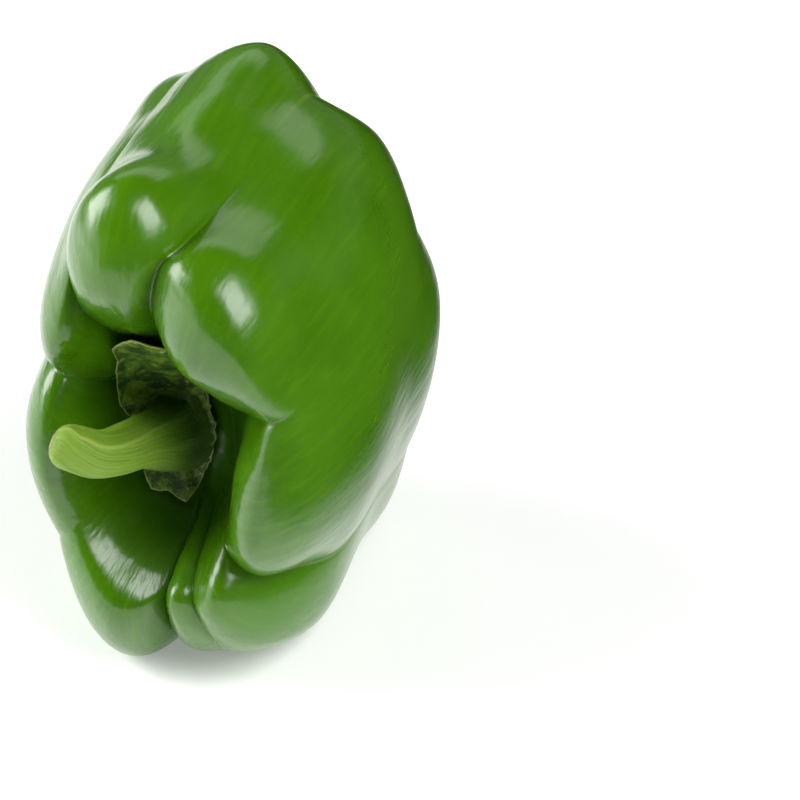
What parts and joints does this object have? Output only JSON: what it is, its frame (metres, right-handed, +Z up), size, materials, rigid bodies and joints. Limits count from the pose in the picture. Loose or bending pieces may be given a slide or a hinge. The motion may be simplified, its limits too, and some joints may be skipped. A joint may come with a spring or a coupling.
{
  "type": "bell pepper",
  "caption": "Green bell pepper lying on its side: a blocky lobed fruit, a ragged calyx in the stem hollow and a short ribbed, bent stem.",
  "frame": {"origin": "middle of the bounding box at its bottom, on the table the fruit rests on", "axes": "+Z up, -Y from the fruit towards its stem end, +X to the right as seen from the stem end; the fruit lies on its side"},
  "size_m": [0.0612, 0.0961, 0.1006],
  "materials": {
    "skin": "waxy glossy green skin, mottled",
    "calyx": "dull dark green leaf with pale dry edges",
    "stem": "satin yellow-green ribbed stalk with a dry brown cut rim"
  },
  "bodies": {
    "root": {"fruit": "skin", "calyx": "calyx", "stem": "stem"}
  },
  "joints": []
}
